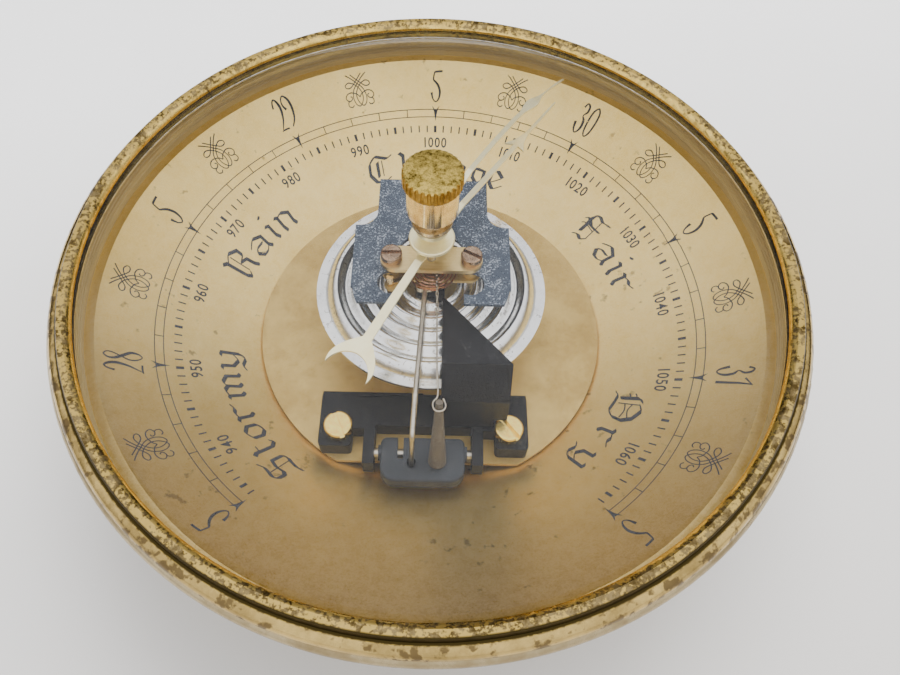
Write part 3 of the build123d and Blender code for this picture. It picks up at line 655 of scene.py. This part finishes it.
# Slender figures: strokes of (x, y, half width) from the baseline, in millimetres.
FIGURES = {
    "5": [
        [(1.2, 5.1, 0.17), (0.5, 5.05, 0.17), (-0.3, 4.95, 0.17)],
        [(-0.34, 5.0, 0.12), (-0.5, 4.3, 0.13), (-0.55, 3.7, 0.15), (-0.1, 3.3, 0.19), (0.44, 2.7, 0.23),
         (0.8, 1.7, 0.24), (0.6, 0.6, 0.17), (0.0, 0.05, 0.11), (-0.64, 0.5, 0.14), (-0.95, 1.6, 0.26)],
    ],
    "2": [
        [(-0.5, 3.8, 0.18), (-0.2, 4.7, 0.14), (0.3, 5.1, 0.14), (0.76, 4.4, 0.23), (0.84, 3.3, 0.25),
         (0.4, 1.9, 0.18), (-0.2, 0.9, 0.12), (-0.76, 0.06, 0.07)],
        [(-1.0, 0.02, 0.08), (-0.2, 0.1, 0.14), (0.7, 0.06, 0.14)],
    ],
    "8": [
        [(0.0, 5.1, 0.11), (-0.5, 4.5, 0.15), (-0.48, 3.6, 0.22), (0.14, 2.5, 0.26), (0.74, 1.4, 0.24),
         (0.5, 0.34, 0.14), (-0.1, 0.0, 0.09), (-0.64, 0.8, 0.13), (-0.64, 1.8, 0.13), (-0.06, 2.85, 0.11),
         (0.5, 4.0, 0.11), (0.48, 4.74, 0.11), (0.0, 5.1, 0.11)],
    ],
    "9": [
        [(-0.4, 2.95, 0.24), (-0.78, 3.75, 0.16), (-0.58, 4.7, 0.12), (0.0, 5.1, 0.14), (0.66, 4.25, 0.23),
         (0.76, 2.85, 0.24), (0.32, 1.25, 0.17), (-0.7, 0.05, 0.11)],
    ],
    "3": [
        [(-0.44, 4.2, 0.18), (-0.1, 4.9, 0.13), (0.44, 4.6, 0.19), (0.56, 3.7, 0.19), (0.08, 2.9, 0.11),
         (0.6, 2.25, 0.23), (0.76, 1.1, 0.24), (0.4, 0.2, 0.14), (-0.08, 0.0, 0.12), (-0.5, 0.55, 0.19),
         (-0.78, 1.7, 0.26)],
    ],
    "0": [
        [(0.0, 5.0, 0.12), (-0.6, 4.2, 0.17), (-0.76, 2.5, 0.18), (-0.56, 0.8, 0.17), (0.0, 0.05, 0.12),
         (0.58, 0.8, 0.17), (0.76, 2.5, 0.18), (0.6, 4.2, 0.17), (0.0, 5.0, 0.12)],
    ],
    "1": [
        [(-0.7, 3.9, 0.14), (0.1, 4.5, 0.1), (0.66, 4.95, 0.07)],
        [(0.56, 4.9, 0.1), (0.2, 3.2, 0.19), (0.04, 1.6, 0.23), (-0.1, 0.0, 0.27)],
    ],
}

# Black letters: (kind, points) from the baseline, in millimetres, and each letter's width.
LETTERS = {
    "S": (5.1, [
        ("nib", [(3, 2.8), (1.9, 2.6), (1.3, 3), (1.4, 4.1), (2.2, 4.7), (3.2, 4.5), (4.1, 4.4),
                 (5.1, 4.9)]),
        ("nib", [(1.9, 2.7), (3.2, 2.9), (4.6, 2.6), (4.5, 0.7), (3.4, 0.2), (2.5, 0.4), (1.2, 0.5),
                 (0, 0.3)]),
        ("hair", [(3, 4.7), (3, 0.3)]),
    ]),
    "t": (1.9, [
        ("nib", [(0.3, 4.2), (0.7, 3.7), (0.6, 0.7), (1.3, 0), (1.9, 0.4)]),
        ("hair", [(0.6, 3.1), (1.9, 3.1)]),
    ]),
    "o": (2.8, [
        ("nib", [(0.3, 2.3), (0.2, 0.7), (1.1, 0), (2.7, 0.7), (2.8, 2.3), (1.8, 3), (0.3, 2.3)]),
    ]),
    "r": (3.5, [
        ("nib", [(0.1, 2.9), (0.7, 2.6), (0.6, 0.6), (1.1, 0)]),
        ("nib", [(0.7, 2.5), (1.9, 2.9), (2.6, 2.6), (3.5, 3)]),
    ]),
    "m": (4.9, [
        ("nib", [(0.1, 2.7), (0.6, 2.5), (0.4, 0.4), (0.9, -0.1)]),
        ("nib", [(0.6, 2.5), (1.9, 2.9), (2.6, 2.3), (2.3, 0.4), (2.8, -0.1)]),
        ("nib", [(2.6, 2.3), (3.5, 2.9), (4.6, 2.2), (4.5, 0.2), (4.9, -0.1)]),
    ]),
    "y": (3.4, [
        ("nib", [(0.1, 2.6), (0.7, 2.4), (0.6, 0.6), (1.7, -0.3), (3.3, 0.7)]),
        ("nib", [(2.7, 2.6), (3.4, 2.4), (3.2, -0.6), (2, -1.5), (0.8, -1), (-0.2, -1.4)]),
    ]),
    "R": (4.1, [
        ("nib", [(0.1, 5.1), (0.7, 4.6), (0.6, 0.7), (1, -0.1), (1.6, 0.5)]),
        ("hair", [(2.1, 4.7), (1.9, 0.8)]),
        ("nib", [(0.9, 4.4), (2.5, 5.2), (3.9, 4.4), (3.8, 3.2), (2.4, 2.7)]),
        ("nib", [(2.4, 2.7), (3.6, 2.2), (3.7, 0.7), (4.1, -0.1)]),
    ]),
    "a": (3.8, [
        ("nib", [(0.1, 2.4), (2, 3.3), (3.5, 2.6), (3.3, 0.7), (3.8, 0)]),
        ("nib", [(2.8, 1.7), (1.2, 1.7), (0.3, 1), (1.1, 0), (2.1, 0), (3.2, 0.6)]),
    ]),
    "i": (1.0, [
        ("nib", [(0.1, 3.1), (0.8, 2.8), (0.6, 0.8), (1, 0)]),
        ("nib", [(0.5, 5.1), (0.75, 4.9)]),
    ]),
    "n": (3.3, [
        ("nib", [(0.1, 3.1), (0.7, 2.8), (0.5, 0.8), (0.7, -0.1)]),
        ("nib", [(0.7, 2.7), (1.9, 3.1), (3.2, 2.4), (3, 0.6), (3.3, -0.1)]),
    ]),
    "F": (4.7, [
        ("nib", [(1.1, 1), (1.1, 4.4), (1.9, 5.2), (3.1, 4.8), (4.7, 5.1)]),
        ("nib", [(0, 3.3), (0.7, 3.8), (1.9, 3), (4.1, 3)]),
        ("hair", [(0.1, 2.3), (0.8, 2.7), (3.1, 2.4)]),
        ("hair", [(3, 4.8), (3.2, 0.7)]),
        ("nib", [(3.2, 0.7), (2.4, -0.1), (1.4, 0.3), (0.4, -0.1)]),
    ]),
    "D": (5.6, [
        ("nib", [(1.6, 4.8), (0.9, 4), (1.2, 1.1)]),
        ("hair", [(0, 3.2), (0.5, 3.5), (1.1, 3.3)]),
        ("hair", [(0.1, 2.2), (0.6, 2.5), (1.1, 2.3)]),
        ("hair", [(2.1, 4.5), (2.3, 1)]),
        ("nib", [(2, 4.4), (3.3, 5), (4.9, 4.1), (5.6, 2.6), (5.3, 1), (4, 0), (2.3, 0.3),
                 (0.9, 0.5), (0.1, 0)]),
        ("hair", [(2.2, 3.3), (3.5, 2.9), (5, 3.4)]),
        ("hair", [(2.3, 2.1), (3.6, 2.4), (5.1, 2.1)]),
    ]),
    "C": (5.3, [
        ("nib", [(5.3, 4.9), (4.2, 4.3), (3.3, 4.6), (2.1, 5), (0.7, 3.7), (0.4, 1.7), (1.4, 0.2),
                 (3, 0), (4.4, 0.7)]),
        ("nib", [(2.3, 3.9), (2.1, 1.1)]),
        ("hair", [(3.2, 4.1), (3.1, 1.1)]),
    ]),
    "h": (3.3, [
        ("nib", [(0.1, 5), (0.8, 4.4), (0.7, 0.7), (1.2, 0)]),
        ("nib", [(0.8, 2.6), (2, 3.1), (3.3, 2.4), (3.2, 0.6), (2.5, -0.6)]),
    ]),
    "g": (2.7, [
        ("nib", [(1.7, 2.8), (0.7, 2.5), (0.5, 0.9), (1.3, 0), (2.6, 0.7)]),
        ("nib", [(0.8, 2.6), (2.7, 2.4), (2.6, -0.2), (1.6, -1), (0.4, -0.5), (-0.2, -0.8)]),
    ]),
    "e": (2.8, [
        ("nib", [(0.4, 0.7), (2.5, 2.1), (1.3, 3.1), (0.3, 2.4), (0.1, 0.7), (1.1, -0.4),
                 (2.8, 0.5)]),
    ]),
}
WORD_R = 36.75  # baseline of the weather words
# word, angle where it starts, angle where it ends
WORDS = [
    ("Stormy", -145.4, -102.3), ("Rain", -76.1, -49.9), ("Change", -21.2, 22.5), ("Fair", 51.4, 78.6),
    ("Dry", 112.3, 137.9),
]


def word(text, start, end):
    """A word in black letter, its letters spread evenly between two angles."""
    room = math.radians(end - start) * WORD_R
    widths = [LETTERS[c][0] for c in text]
    gap = (room - sum(widths)) / (len(text) - 1)
    x, parts = 0.0, []
    for c, width in zip(text, widths):
        for n, (kind, stroke) in enumerate(LETTERS[c][1]):
            lift = DIAL_LIFT + 0.006 * n
            if kind == "nib":
                parts.append(broad_pen(stroke, start, WORD_R, x, lift))
            thin = [(x + px, py, HAIR) for px, py in stroke]
            parts.append(pen(thin, start, WORD_R, lift + 0.003))
        x += width + gap
    return joined(parts)


FLOURISH_R = 53.64
FLOURISH_HALF = 0.09  # half width of its line
FLOURISH = [
    [
        (-2.1, 2.7), (-1.4, 2.25), (-0.55, 1.6), (0, 1.1), (0.57, 0.66), (1.07, 0.08),
        (1.35, -0.66), (1.43, -1.33), (1.15, -2.15), (0.57, -2.57), (0.08, -2.45), (-0.4, -1.9),
        (-0.65, -1.25), (-0.62, -0.5), (-0.33, 0.08), (0.08, 0.58), (0.65, 1.04), (1.3, 1.35),
        (1.9, 1.45), (2.46, 1.2), (2.58, 0.9), (2.3, 0.62), (1.7, 0.58), (1.2, 0.8), (0.8, 1.1),
        (0.33, 1.45), (-0.33, 2), (-1.1, 2.68),
    ],
    [
        (0, -1.1), (-0.5, -0.58), (-1.23, -0.3), (-1.8, -0.17), (-2.55, -0.33), (-3, -0.75),
        (-3, -1.16), (-2.55, -1.5), (-2.05, -1.45), (-1.72, -1.16), (-1.8, -0.87), (-2.05, -0.8),
    ],
    [
        (-2.55, -1.5), (-2.83, -1.83), (-2.8, -2.32), (-2.25, -2.57), (-1.88, -2.45),
        (-1.72, -2.24),
    ],
]


def flourish(angle):
    parts = []
    for n, stroke in enumerate(FLOURISH):
        for side in (1, -1):
            line = [(side * x, y, FLOURISH_HALF) for x, y in stroke]
            parts.append(pen(line, angle, FLOURISH_R, DIAL_LIFT + 0.003 * (2 * n + (side > 0))))
    return joined(parts)


def plain_figures():
    """The ten sans-serif figures of the built-in face, one high: {figure: (points, faces, width)}."""
    made = {}
    for figure in "0123456789":
        curve = bpy.data.curves.new("figure", "FONT")
        curve.body = figure
        curve.resolution_u = 6
        curve.offset = 0.014
        holder = bpy.data.objects.new("figure", curve)
        bpy.context.scene.collection.objects.link(holder)
        bpy.context.view_layer.update()
        scene_state = bpy.context.evaluated_depsgraph_get()
        mesh = bpy.data.meshes.new_from_object(holder.evaluated_get(scene_state))
        points = [(v.co.x, v.co.y) for v in mesh.vertices]
        faces = [tuple(f.vertices) for f in mesh.polygons]
        left, right = min(x for x, y in points), max(x for x, y in points)
        low, high = min(y for x, y in points), max(y for x, y in points)
        size = 1 / (high - low)
        scaled = [((x - left) * size, (y - low) * size) for x, y in points]
        made[figure] = (scaled, faces, (right - left) * size)
        bpy.data.objects.remove(holder)
        bpy.data.meshes.remove(mesh)
    return made


PLAIN = plain_figures()


def plain_number(text, angle, radius, height, gap, squeeze=0.92):
    """A number centred at an angle, its baseline at a radius."""
    widths = [max(PLAIN[c][2], 0.42) * height * squeeze for c in text]
    x = -(sum(widths) + gap * (len(text) - 1)) / 2
    parts = []
    for c, width in zip(text, widths):
        points, faces, natural = PLAIN[c]
        inset = (width - natural * height * squeeze) / 2
        start, across = x + inset, height * squeeze
        placed = [lettered(start + px * across, py * height, angle, radius) for px, py in points]
        parts.append((placed, faces))
        x += width + gap
    return joined(parts)


def slender_number(text, angle):
    parts = []
    step = 2.25
    for i, c in enumerate(text):
        x0 = (i - (len(text) - 1) / 2) * step
        drop = -0.55 if text == "5" else 0.0
        for stroke in FIGURES[c]:
            line = [(x0 + x, y + drop, half) for x, y, half in stroke]
            parts.append(pen(line, angle, 51.15, DIAL_LIFT))
    return joined(parts)


def print_dial():
    circles = [arc_line(SCALE_R * r, -SCALE_END, SCALE_END, 0.14) for r in (1.0, 1.0272)]
    tenths = [tick(INCH_TENTH * n, SCALE_R, SCALE_R * 1.0272, 0.17) for n in range(-20, 21)]
    piece("inch_scale", *joined(circles + tenths), INK, "case", smooth=False)
    arrows = [arrow(INCH_TENTH * 5 * n) for n in range(-4, 5)]
    piece("half_inch_arrows", *joined(arrows), INK, "case", smooth=False)
    ticks = []
    for mb in range(934, 1067):
        heavy = mb % 5 == 0
        ticks.append(tick((mb - MB_TOP) * MB_STEP, 45.25, 46.45, 0.55 if heavy else 0.27))
    piece("millibar_ticks", *joined(ticks), INK, "case", smooth=False)
    numbers = []
    for mb in range(940, 1061, 10):
        numbers.append(plain_number(str(mb), (mb - MB_TOP) * MB_STEP, 42.5, 1.85, 0.28))
    piece("millibar_numbers", *joined(numbers), INK, "case", smooth=False)
    labels = ["5", "28", "5", "29", "5", "30", "5", "31", "5"]
    inches = [slender_number(text, INCH_TENTH * 5 * (n - 4)) for n, text in enumerate(labels)]
    piece("inch_numbers", *joined(inches), INK, "case", smooth=False)
    for text, start, end in WORDS:
        piece(f"word_{text.lower()}", *word(text, start, end), INK, "case", smooth=False)
    sprays = [flourish(INCH_TENTH * 5 * (n + 0.5)) for n in range(-4, 4)]
    piece("flourishes", *joined(sprays), INK, "case", smooth=False)


print_dial()


# ---- chain and hook -----------------------------------------------------------------------------
def mm_box(node):
    low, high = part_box(node)
    return low / MM, high / MM


def make_chain():
    """Twisted chain of small oval links from the arbor down to the link wire's eye."""
    low, high = mm_box("fusee_chain")
    z, x0, y0 = (low.z + high.z) / 2, low.x + 0.3, high.y
    x1, y1 = high.x - 0.3, low.y
    links, parts = 13, []
    for n in range(links):
        t = (n + 0.5) / links
        cx, cy = x0 + (x1 - x0) * t, y0 + (y1 - y0) * t
        turn = math.radians(35 + 62 * n)
        loop = []
        for k in range(14):
            a = 2 * math.pi * k / 14
            along, across = 0.5 * math.cos(a), 0.2 * math.sin(a)
            loop.append((cx + across * math.cos(turn), cy + along, z + across * math.sin(turn)))
        parts.append(tube(loop, 0.085, 6, closed=True))
    thing = piece("chain_links", *joined(parts), FINISHES["chain_steel"], "chain")
    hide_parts("fusee_chain")


def make_link_wire():
    """Fine wire with an eye at the chain and an open hook round the rocker post."""
    low, high = mm_box("link_wire")
    z, eye_y, hook_y = (low.z + high.z) / 2, high.y, low.y + 1.18
    hook_x = high.x - 1.18
    eye = [(1.14, 0.45), (0.8, 0.1), (1.12, -0.55), (1.44, 0.1), (1.14, 0.45)]
    loop = [(x, y, z) for x, y in rounded([(x, eye_y + y) for x, y in eye], 5)]
    run = [(1.13, eye_y - 0.5), (1.2, eye_y - 6), (1.35, eye_y - 12)]
    hook = [
        (-0.25, 1.8), (-0.95, 0.45), (-0.75, -0.7), (0, -1.0), (0.75, -0.7), (0.98, 0.1), (0.6, 1.15),
    ]
    run += [(hook_x + x, hook_y + y) for x, y in hook]
    wire = [(x, y, z) for x, y in rounded(run, 7)]
    thing = piece("link_wire_hook", *joined([tube(loop, 0.13, 8), tube(wire, 0.15, 10)]), STEEL, "chain")
    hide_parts("link_wire")


make_chain()
make_link_wire()


# ---- studio -------------------------------------------------------------------------------------
def floor_finish():
    finish = Finish("studio_sheet", 0.0, 0.45)
    tone = finish.mottle(6.0, (0.97, 0.97, 0.975), (0.92, 0.92, 0.925))
    split = add(finish.tree, "ShaderNodeSeparateXYZ", {0: finish.place}).outputs
    # Painted shade: the sheet darkens to grey towards the front (-Y), tilted a little towards +X.
    near = finish.span(finish.math("MULTIPLY_ADD", split["X"], -0.35, split["Y"]), 0.11, -0.11)
    finish.color(finish.blend(near, tone["Color"], (0.62, 0.60, 0.575)))
    finish.bump(finish.use(GRAIN, Scale=700.0)["Height"], 0.02 * MM)
    return finish.material


def make_floor():
    size = 1500.0
    mesh = bpy.data.meshes.new("studio_floor")
    corners = [(-size, -size, 0), (size, -size, 0), (size, size, 0), (-size, size, 0)]
    mesh.from_pydata([Vector(c) * MM for c in corners], [], [(0, 1, 2, 3)])
    mesh.materials.append(floor_finish())
    floor = bpy.data.objects.new("studio_floor", mesh)
    bpy.context.scene.collection.objects.link(floor)


def area_light(name, place, aim, size, power, color=(1, 1, 1)):
    data = bpy.data.lights.new(name, "AREA")
    data.shape = "RECTANGLE"
    data.size, data.size_y = size
    data.energy = power
    data.color = color
    lamp = bpy.data.objects.new(name, data)
    lamp.location = place
    lamp.visible_glossy = False
    lamp.visible_transmission = False
    lamp.rotation_euler = (Vector(aim) - Vector(place)).to_track_quat("-Z", "Y").to_euler()
    bpy.context.scene.collection.objects.link(lamp)


def make_sky():
    """Bright overhead and in front, dark along the far horizon."""
    world = bpy.data.worlds.new("studio_sky")
    bpy.context.scene.world = world
    world.use_nodes = True
    tree = world.node_tree
    direction = add(tree, "ShaderNodeTexCoord").outputs["Generated"]
    split = add(tree, "ShaderNodeSeparateXYZ", {0: direction}).outputs
    tilt = add(tree, "ShaderNodeMath", {0: split["Y"], 1: -0.55, 2: split["Z"]}, operation="MULTIPLY_ADD")
    share = add(tree, "ShaderNodeMapRange", {"Value": tilt.outputs[0], "From Min": -0.5, "From Max": 1.2})
    ramp = add(tree, "ShaderNodeValToRGB", {0: share.outputs[0]})
    stops = ramp.color_ramp.elements
    stops[0].position, stops[0].color = 0.0, (0.03, 0.03, 0.03, 1)
    stops[1].position, stops[1].color = 1.0, (0.98, 0.98, 0.98, 1)
    for position, value in ((0.14, 0.012), (0.31, 0.05), (0.44, 0.55), (0.62, 0.88)):
        stops.new(position).color = (value, value, value * 1.02, 1)
    tree.links.new(ramp.outputs[0], tree.nodes["Background"].inputs["Color"])
    tree.nodes["Background"].inputs["Strength"].default_value = 1.7


def make_camera():
    """Camera above the dial's near side, looking down at it."""
    azimuth, elevation, roll = math.radians(0.45), math.radians(58.95), math.radians(-0.96)
    place = Vector((0.5, -77.2, 137.2)) * MM
    level = math.cos(elevation)
    back = Vector((math.sin(azimuth) * level, -math.cos(azimuth) * level, math.sin(elevation)))
    right = Vector((math.cos(azimuth), math.sin(azimuth), 0))
    up = back.cross(right)
    c, s = math.cos(roll), math.sin(roll)
    right, up = right * c - up * s, right * s + up * c
    data = bpy.data.cameras.new("camera")
    data.sensor_width = 36
    data.lens = 30.35
    data.shift_x, data.shift_y = 0.0227, -0.0013
    data.clip_start = 0.005
    camera = bpy.data.objects.new("camera", data)
    turn = Matrix((right, up, back)).transposed()
    camera.matrix_world = Matrix.Translation(place) @ turn.to_4x4()
    bpy.context.scene.collection.objects.link(camera)
    bpy.context.scene.camera = camera


make_floor()
make_sky()
area_light("overhead", (0.1, 0.45, 0.8), (0, 0.05, 0), (0.8, 0.6), 12.0, (1.0, 0.99, 0.97))
area_light("side", (0.7, 0.3, 0.6), (0, 0, 0.02), (0.4, 0.4), 3.0)
make_camera()
